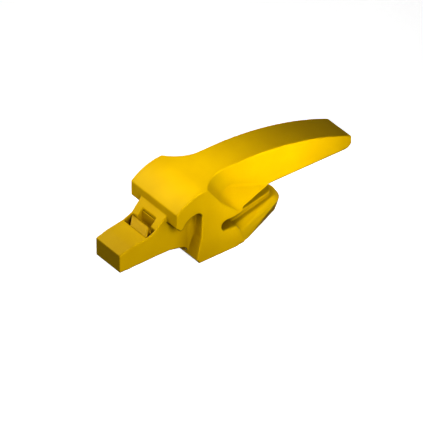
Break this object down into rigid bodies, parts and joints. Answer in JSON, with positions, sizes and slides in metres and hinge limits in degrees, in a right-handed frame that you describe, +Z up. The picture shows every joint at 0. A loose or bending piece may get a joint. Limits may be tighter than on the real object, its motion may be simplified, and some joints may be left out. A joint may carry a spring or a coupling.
{
  "type": "weld-on excavator bucket tooth adapter",
  "caption": "Weld-on bucket tooth adapter: tapered nose for a tooth point with a lift-out lock bar and sprung latch, long upper strap and short lower strap that straddle the lip plate.",
  "frame": {"origin": "centre of the bounding box at the flat bottom of the body", "axes": "+X from the nose tip to the end of the upper strap, +Z up through the straps, Y across the nose; the adapter is symmetric about the plane Y = 0"},
  "size_m": [0.525, 0.137, 0.1557],
  "materials": {
    "casting_paint": "smooth satin-gloss yellow paint on a fine-grained steel casting",
    "lock_paint": "yellow paint over machined steel, a little thinner than on the casting",
    "cushion_rubber": "matt black moulded rubber",
    "plain_steel": "bare ground steel"
  },
  "bodies": {
    "adapter": {"adapter_body": "casting_paint", "backing_plate": "plain_steel", "guide_pins": "plain_steel", "latch_cushion": "cushion_rubber"},
    "bar": {"lock_bar": "lock_paint"},
    "latch": {"latch_block": "lock_paint"}
  },
  "joints": [
    {"name": "bar_lift", "type": "slide", "parent": "adapter", "child": "bar", "axis": [0, 0, 1], "range_m": [0, 0.045]},
    {"name": "latch_press", "type": "slide", "parent": "adapter", "child": "latch", "axis": [1, 0, 0], "range_m": [0, 0.003], "stiffness_N_per_m": 20000, "springref_m": -0.0005, "deforming": ["latch_cushion"]}
  ]
}
